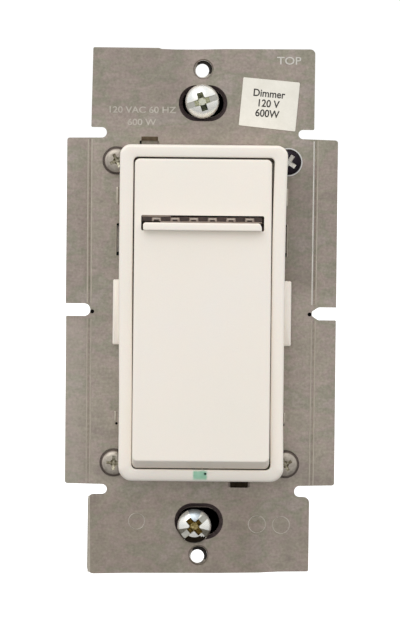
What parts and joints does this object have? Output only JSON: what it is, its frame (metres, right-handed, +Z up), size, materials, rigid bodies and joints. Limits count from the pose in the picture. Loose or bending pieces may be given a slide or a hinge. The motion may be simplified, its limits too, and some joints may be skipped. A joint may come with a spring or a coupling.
{
  "type": "dimmer switch",
  "caption": "Preset dimmer for a rectangular wall plate: hinged push pad, rocking dim bar under a light strip, clip-on frame, metal strap with break-off wings, deep back housing.",
  "frame": {"origin": "centre of the strap's rear face, the plane that lies against the wall and the box", "axes": "+Z up along the strap, +Y into the wall, -Y towards the user, +X to the viewer's right"},
  "size_m": [0.0538, 0.0395, 0.1049],
  "materials": {
    "strap_metal": "brushed",
    "ivory_plastic": "satin moulded",
    "carrier_plastic": "moulded",
    "smoked_lens": "smoked translucent",
    "green_lens": "translucent green",
    "black_plastic": "moulded, fine texture",
    "fibre_black": "vulcanised fibre",
    "zinc_steel": "bright zinc plated",
    "dark_steel": "dark plated",
    "spring_steel": "drawn wire",
    "brass": "stamped",
    "ground_green": "green passivated",
    "board_green": "coated board",
    "component_black": "moulded",
    "led_clear": "diffused",
    "copper": "enamelled copper wire",
    "ferrite": "sintered",
    "film_red": "dipped",
    "varistor_blue": "dipped",
    "fuse_tan": "fired",
    "pad_grey": "thermal pad",
    "label_paper": "printed"
  },
  "bodies": {
    "chassis": {"mounting_strap": "strap_metal", "back_housing": "black_plastic", "front_frame": "ivory_plastic", "carrier": "carrier_plastic", "light_guide": "smoked_lens", "locator_lens": "green_lens", "pad_hinge_pin_left": "zinc_steel", "pad_hinge_pin_right": "zinc_steel", "bar_pivot_pin": "zinc_steel", "pad_spring": "spring_steel", "power_switch_body": "component_black", "dim_switch_body": "component_black", "housing_screw_upper_left": "zinc_steel", "housing_screw_upper_right": "dark_steel", "housing_screw_lower_left": "zinc_steel", "housing_screw_lower_right": "zinc_steel", "captive_washer_top": "fibre_black", "captive_washer_bottom": "fibre_black", "control_board": "board_green", "power_board": "board_green", "board_header": "component_black", "controller_chip": "component_black", "locator_led": "led_clear", "choke_core": "ferrite", "choke_winding": "copper", "film_capacitor": "film_red", "electrolytic_capacitor": "component_black", "varistor": "varistor_blue", "fuse": "fuse_tan", "insulating_pad": "pad_grey", "transistor_1": "component_black", "transistor_2": "component_black", "transistor_clip": "spring_steel", "clip_screw": "zinc_steel", "ground_clip": "brass", "ground_screw": "ground_green", "rating_label": "label_paper", "strap_label": "label_paper", "level_led_1": "led_clear", "level_led_2": "led_clear", "level_led_3": "led_clear", "level_led_4": "led_clear", "level_led_5": "led_clear", "level_led_6": "led_clear", "level_led_7": "led_clear", "terminal_screw_1": "brass", "terminal_clamp_1": "brass", "terminal_screw_2": "brass", "terminal_clamp_2": "brass", "terminal_screw_3": "brass", "terminal_clamp_3": "brass"},
    "pad": {"push_pad": "ivory_plastic"},
    "bar": {"dim_bar": "ivory_plastic"},
    "plunger": {"power_switch_plunger": "ivory_plastic"},
    "slider": {"dim_switch_slider": "ivory_plastic"},
    "top_screw": {"mounting_screw_top": "zinc_steel"},
    "bottom_screw": {"mounting_screw_bottom": "zinc_steel"}
  },
  "joints": [
    {"name": "pad_press", "type": "hinge", "parent": "chassis", "child": "pad", "pos_m": [0, -0.0052, 0.027], "axis": [1, 0, 0], "range_deg": [0, 1.2], "stiffness_Nm_per_rad": 1, "springref_deg": -2.29, "deforming": ["pad_spring"]},
    {"name": "power_plunger_slide", "type": "slide", "parent": "chassis", "child": "plunger", "axis": [0, 1, 0], "range_m": [0, 0.00085]},
    {"name": "dim_bar_rock", "type": "hinge", "parent": "chassis", "child": "bar", "pos_m": [0, -0.005, 0.01725], "axis": [0, 0, 1], "range_deg": [-3, 3], "stiffness_Nm_per_rad": 0.1},
    {"name": "dim_slider_slide", "type": "slide", "parent": "chassis", "child": "slider", "axis": [1, 0, 0], "range_m": [-0.00026, 0.00026]},
    {"name": "top_screw_turn", "type": "hinge", "parent": "chassis", "child": "top_screw", "pos_m": [-0.0002, 0, 0.042], "axis": [0, 1, 0], "continuous": true},
    {"name": "bottom_screw_turn", "type": "hinge", "parent": "chassis", "child": "bottom_screw", "pos_m": [-0.0009, 0, -0.0426], "axis": [0, 1, 0], "continuous": true}
  ],
  "couplings": [
    {"joint": "power_plunger_slide", "follows": "pad_press", "m_per_rad": 0.039},
    {"joint": "dim_slider_slide", "follows": "dim_bar_rock", "m_per_rad": -0.0049}
  ]
}
